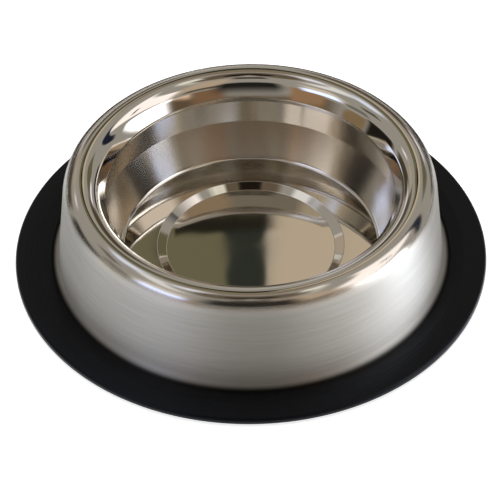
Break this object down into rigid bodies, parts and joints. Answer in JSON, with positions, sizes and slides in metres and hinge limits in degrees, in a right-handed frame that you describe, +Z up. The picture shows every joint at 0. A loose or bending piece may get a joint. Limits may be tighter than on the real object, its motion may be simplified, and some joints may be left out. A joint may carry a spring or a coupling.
{
  "type": "pet bowl",
  "caption": "Low round no-tip pet bowl pressed from one stainless sheet, with a curled rim, sloping skirt and foot flange held in a black rubber non-slip ring.",
  "frame": {"origin": "centre of the ring's sole, on the surface the bowl stands on", "axes": "+Z up along the bowl's axis of symmetry; X and Y lie in the plane of the sole and are interchangeable; the picture is taken from -Y"},
  "size_m": [0.158, 0.158, 0.036],
  "materials": {
    "stainless_steel": "mirror-polished basin and rim, satin skirt",
    "black_rubber": "moulded, satin"
  },
  "bodies": {
    "root": {"steel_bowl": "stainless_steel", "rubber_ring": "black_rubber"}
  },
  "joints": []
}
